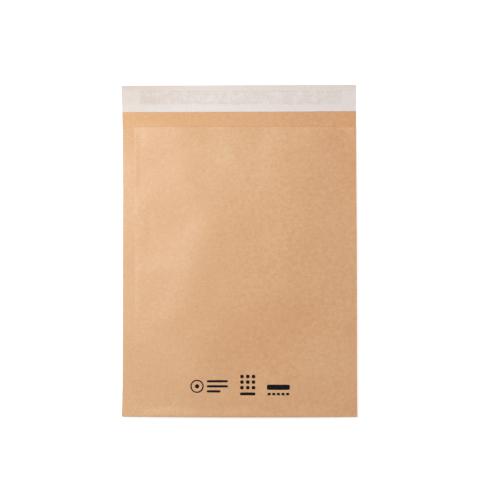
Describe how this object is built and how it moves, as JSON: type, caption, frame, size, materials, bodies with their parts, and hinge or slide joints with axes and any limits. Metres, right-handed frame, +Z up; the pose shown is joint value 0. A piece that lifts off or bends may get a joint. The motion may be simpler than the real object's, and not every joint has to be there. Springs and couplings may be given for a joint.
{
  "type": "padded envelope",
  "caption": "Flat padded kraft-paper mailer with an open pocket, glued side seams, a folded bottom and a peel-and-seal closure flap under a white release liner.",
  "frame": {"origin": "centre of the bounding box on the table, under the back panel", "axes": "+X across the mouth to the right, +Y from the folded bottom to the flap's free edge, +Z up from the table out of the front panel"},
  "size_m": [0.2416, 0.3416, 0.0104],
  "materials": {
    "kraft_wrap": "matte brown kraft paper",
    "cushion_paper": "embossed kraft padding",
    "inner_kraft": "matte thin kraft paper",
    "seam_glue": "dried glue",
    "closure_glue": "tacky hot-melt band",
    "release_paper": "smooth off-white silicone-coated paper"
  },
  "bodies": {
    "root": {"outer_wrap": "kraft_wrap", "cushion": "cushion_paper", "inner_ply": "inner_kraft", "seam_glue_left": "seam_glue", "seam_glue_right": "seam_glue", "closure_adhesive": "closure_glue", "release_liner": "release_paper"}
  },
  "joints": []
}
